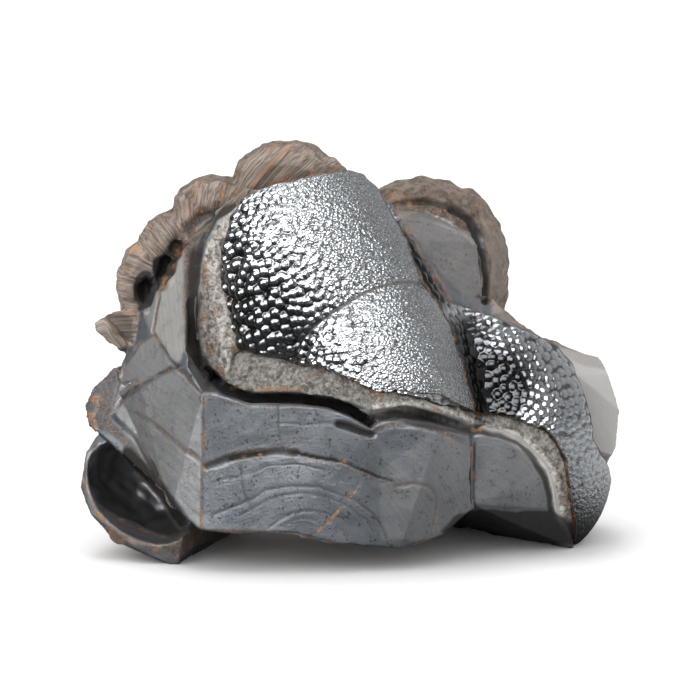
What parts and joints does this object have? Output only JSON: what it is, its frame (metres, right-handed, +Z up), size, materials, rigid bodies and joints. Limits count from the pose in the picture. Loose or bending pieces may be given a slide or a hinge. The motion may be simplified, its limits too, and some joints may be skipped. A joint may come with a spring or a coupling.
{
  "type": "botryoidal hematite specimen",
  "caption": "Hand-sized lump of botryoidal hematite: bright domed lobes over a granular rind and banded broken ore, with a brown fibrous crust and a hollow shell.",
  "frame": {"origin": "on the resting surface, under the middle of the lump's box", "axes": "+X to the viewer's right along the greatest width, +Y away from the bright front, +Z up"},
  "size_m": [0.1194, 0.0768, 0.0886],
  "materials": {
    "hematite": "mirror-bright steel-grey domes on the front lobes, satin blue-grey banded breaks, granular grey rind and matt brown fibrous crust"
  },
  "bodies": {
    "root": {"hematite_lump": "hematite"}
  },
  "joints": []
}
